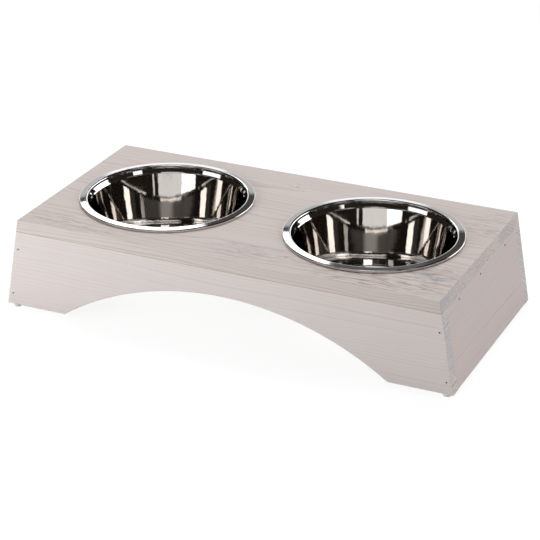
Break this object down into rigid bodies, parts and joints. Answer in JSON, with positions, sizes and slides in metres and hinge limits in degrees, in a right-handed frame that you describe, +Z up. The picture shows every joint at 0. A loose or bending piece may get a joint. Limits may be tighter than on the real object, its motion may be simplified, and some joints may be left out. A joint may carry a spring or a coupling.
{
  "type": "dog feeder stand",
  "caption": "Low whitewashed pine stand with leaning ends and arched front and rear panels, carrying lift-out stainless steel bowls by their rolled rims.",
  "frame": {"origin": "centre of the stand's footprint, on the floor that the feet stand on", "axes": "+X along the stand to its right end, +Y from the front panel to the rear panel, +Z up"},
  "size_m": [0.593, 0.28, 0.126],
  "materials": {
    "whitewashed_pine": "matt white glaze over open pine grain",
    "bare_pine": "planed, unfinished",
    "bowl_steel": "mirror polished",
    "fastener_steel": "dull zinc plate",
    "foot_plastic": "moulded white"
  },
  "bodies": {
    "stand": {"top_board": "whitewashed_pine", "front_panel": "whitewashed_pine", "rear_panel": "whitewashed_pine", "left_end_panel": "whitewashed_pine", "right_end_panel": "whitewashed_pine", "left_cleat": "bare_pine", "right_cleat": "bare_pine", "foot_front_left": "foot_plastic", "foot_front_right": "foot_plastic", "foot_rear_left": "foot_plastic", "foot_rear_right": "foot_plastic", "foot_nails": "fastener_steel", "front_left_brads": "fastener_steel", "front_right_brads": "fastener_steel", "rear_left_brads": "fastener_steel", "rear_right_brads": "fastener_steel", "left_end_brads": "fastener_steel", "right_end_brads": "fastener_steel", "left_cleat_screws": "fastener_steel", "right_cleat_screws": "fastener_steel"},
    "left_bowl": {"left_bowl": "bowl_steel"},
    "right_bowl": {"right_bowl": "bowl_steel"}
  },
  "joints": [
    {"name": "left_bowl_lift", "type": "slide", "parent": "stand", "child": "left_bowl", "axis": [0, 0, 1], "range_m": [0, 0.1]},
    {"name": "right_bowl_lift", "type": "slide", "parent": "stand", "child": "right_bowl", "axis": [0, 0, 1], "range_m": [0, 0.1]}
  ]
}
